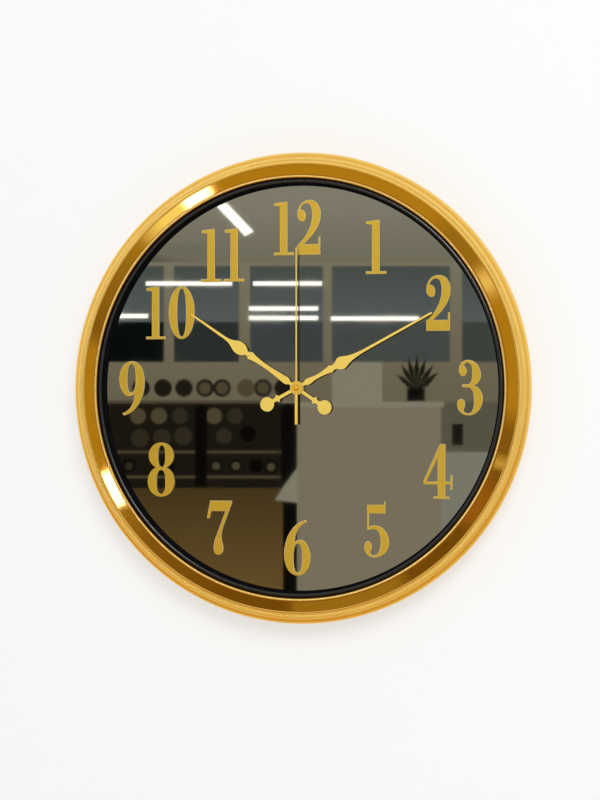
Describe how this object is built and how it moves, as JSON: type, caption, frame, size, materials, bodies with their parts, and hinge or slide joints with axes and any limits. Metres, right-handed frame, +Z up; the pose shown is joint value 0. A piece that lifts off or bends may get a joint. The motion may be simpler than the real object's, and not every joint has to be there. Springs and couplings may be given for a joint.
{
  "type": "mirror wall clock",
  "caption": "Round wall clock with a tinted mirror dial in a reeded gold frame, raised gold numerals, spade hands and a quartz movement on a dished back pan.",
  "frame": {"origin": "centre of the hanging keyhole's round entry, on the wall plane", "axes": "+X to the viewer's right, +Z up, the dial faces -Y; +Y points into the wall"},
  "size_m": [0.4, 0.0323, 0.4],
  "materials": {
    "gold_frame": "gold vacuum plating: satin reeds, polished flat band, ridge and lip",
    "black_ring": "semi-gloss black",
    "tinted_mirror": "grey-bronze tinted mirror, polished",
    "black_plastic": "fine matte moulding texture",
    "zinc_steel": "zinc plated",
    "gold_numeral": "satin gold anodised face, brighter cut edge",
    "gold_hand": "fine satin gold",
    "polished_gold": "polished",
    "brass": "turned",
    "rubber": "matte",
    "grey_plastic": "matte",
    "green_board": "solder-resist green",
    "nickel_steel": "nickel plated",
    "white_nylon": "semi-gloss",
    "copper_wire": "enamelled copper, wound",
    "soft_iron": "stamped",
    "magnet": "dark, fine grain",
    "cell_jacket": "plain jacket with a bare metal shoulder"
  },
  "bodies": {
    "clock": {"bezel": "gold_frame", "gasket_ring": "black_ring", "mirror_dial": "tinted_mirror", "back_pan": "black_plastic", "case_screws": "zinc_steel", "numeral_1": "gold_numeral", "numeral_2": "gold_numeral", "numeral_3": "gold_numeral", "numeral_4": "gold_numeral", "numeral_5": "gold_numeral", "numeral_6": "gold_numeral", "numeral_7": "gold_numeral", "numeral_8": "gold_numeral", "numeral_9": "gold_numeral", "numeral_10": "gold_numeral", "numeral_11": "gold_numeral", "numeral_12": "gold_numeral", "fixing_nut": "brass", "brass_washer": "brass", "rubber_washer": "rubber", "movement_case": "grey_plastic", "movement_cover": "black_plastic", "threaded_bush": "brass", "circuit_board": "green_board", "quartz_crystal": "nickel_steel", "coil_bobbin": "white_nylon", "coil_winding": "copper_wire", "coil_core": "soft_iron", "stator": "soft_iron", "contact_positive": "nickel_steel", "contact_negative": "nickel_steel"},
    "seconds": {"second_hand": "gold_hand", "second_hand_cap": "polished_gold", "second_wheel": "white_nylon"},
    "minutes": {"minute_hand": "gold_hand", "cannon_pinion": "brass"},
    "hours": {"hour_hand": "gold_hand", "hour_wheel": "white_nylon"},
    "centre_wheel_body": {"centre_wheel": "white_nylon", "clutch_spring": "nickel_steel"},
    "third_wheel_body": {"third_wheel": "white_nylon"},
    "intermediate_wheel_body": {"intermediate_wheel": "white_nylon"},
    "rotor_body": {"rotor_magnet": "magnet", "rotor_pinion": "white_nylon"},
    "minute_wheel_body": {"minute_wheel": "white_nylon"},
    "setting_body": {"setting_gear": "white_nylon", "set_knob": "grey_plastic"},
    "battery_body": {"battery": "cell_jacket"}
  },
  "joints": [
    {"name": "second_spin", "type": "hinge", "parent": "clock", "child": "seconds", "pos_m": [0, -0.02, -0.15], "axis": [0, 1, 0], "continuous": true},
    {"name": "minute_spin", "type": "hinge", "parent": "clock", "child": "minutes", "pos_m": [0, -0.02, -0.15], "axis": [0, 1, 0], "continuous": true},
    {"name": "hour_spin", "type": "hinge", "parent": "clock", "child": "hours", "pos_m": [0, -0.02, -0.15], "axis": [0, 1, 0], "continuous": true},
    {"name": "centre_wheel_spin", "type": "hinge", "parent": "clock", "child": "centre_wheel_body", "pos_m": [0, -0.0117, -0.15], "axis": [0, 1, 0], "continuous": true},
    {"name": "third_wheel_spin", "type": "hinge", "parent": "clock", "child": "third_wheel_body", "pos_m": [0.0106, -0.01, -0.14388], "axis": [0, 1, 0], "continuous": true},
    {"name": "intermediate_wheel_spin", "type": "hinge", "parent": "clock", "child": "intermediate_wheel_body", "pos_m": [-0.008, -0.008, -0.14319], "axis": [0, 1, 0], "continuous": true},
    {"name": "rotor_spin", "type": "hinge", "parent": "clock", "child": "rotor_body", "pos_m": [-0.01669, -0.008, -0.14086], "axis": [0, 1, 0], "continuous": true},
    {"name": "minute_wheel_spin", "type": "hinge", "parent": "clock", "child": "minute_wheel_body", "pos_m": [-0.0096, -0.013, -0.15], "axis": [0, 1, 0], "continuous": true},
    {"name": "knob_spin", "type": "hinge", "parent": "clock", "child": "setting_body", "pos_m": [-0.01998, -0.008, -0.15298], "axis": [0, 1, 0], "continuous": true},
    {"name": "battery_slide", "type": "slide", "parent": "clock", "child": "battery_body", "axis": [0, 1, 0], "range_m": [0, 0.03]}
  ],
  "couplings": [
    {"joint": "intermediate_wheel_spin", "follows": "second_spin", "ratio": -6},
    {"joint": "rotor_spin", "follows": "second_spin", "ratio": 30},
    {"joint": "third_wheel_spin", "follows": "second_spin", "ratio": -0.13333},
    {"joint": "centre_wheel_spin", "follows": "second_spin", "ratio": 0.016667},
    {"joint": "minute_wheel_spin", "follows": "minute_spin", "ratio": -0.33333},
    {"joint": "hour_spin", "follows": "minute_spin", "ratio": 0.083333},
    {"joint": "knob_spin", "follows": "minute_spin", "ratio": 0.66667}
  ]
}
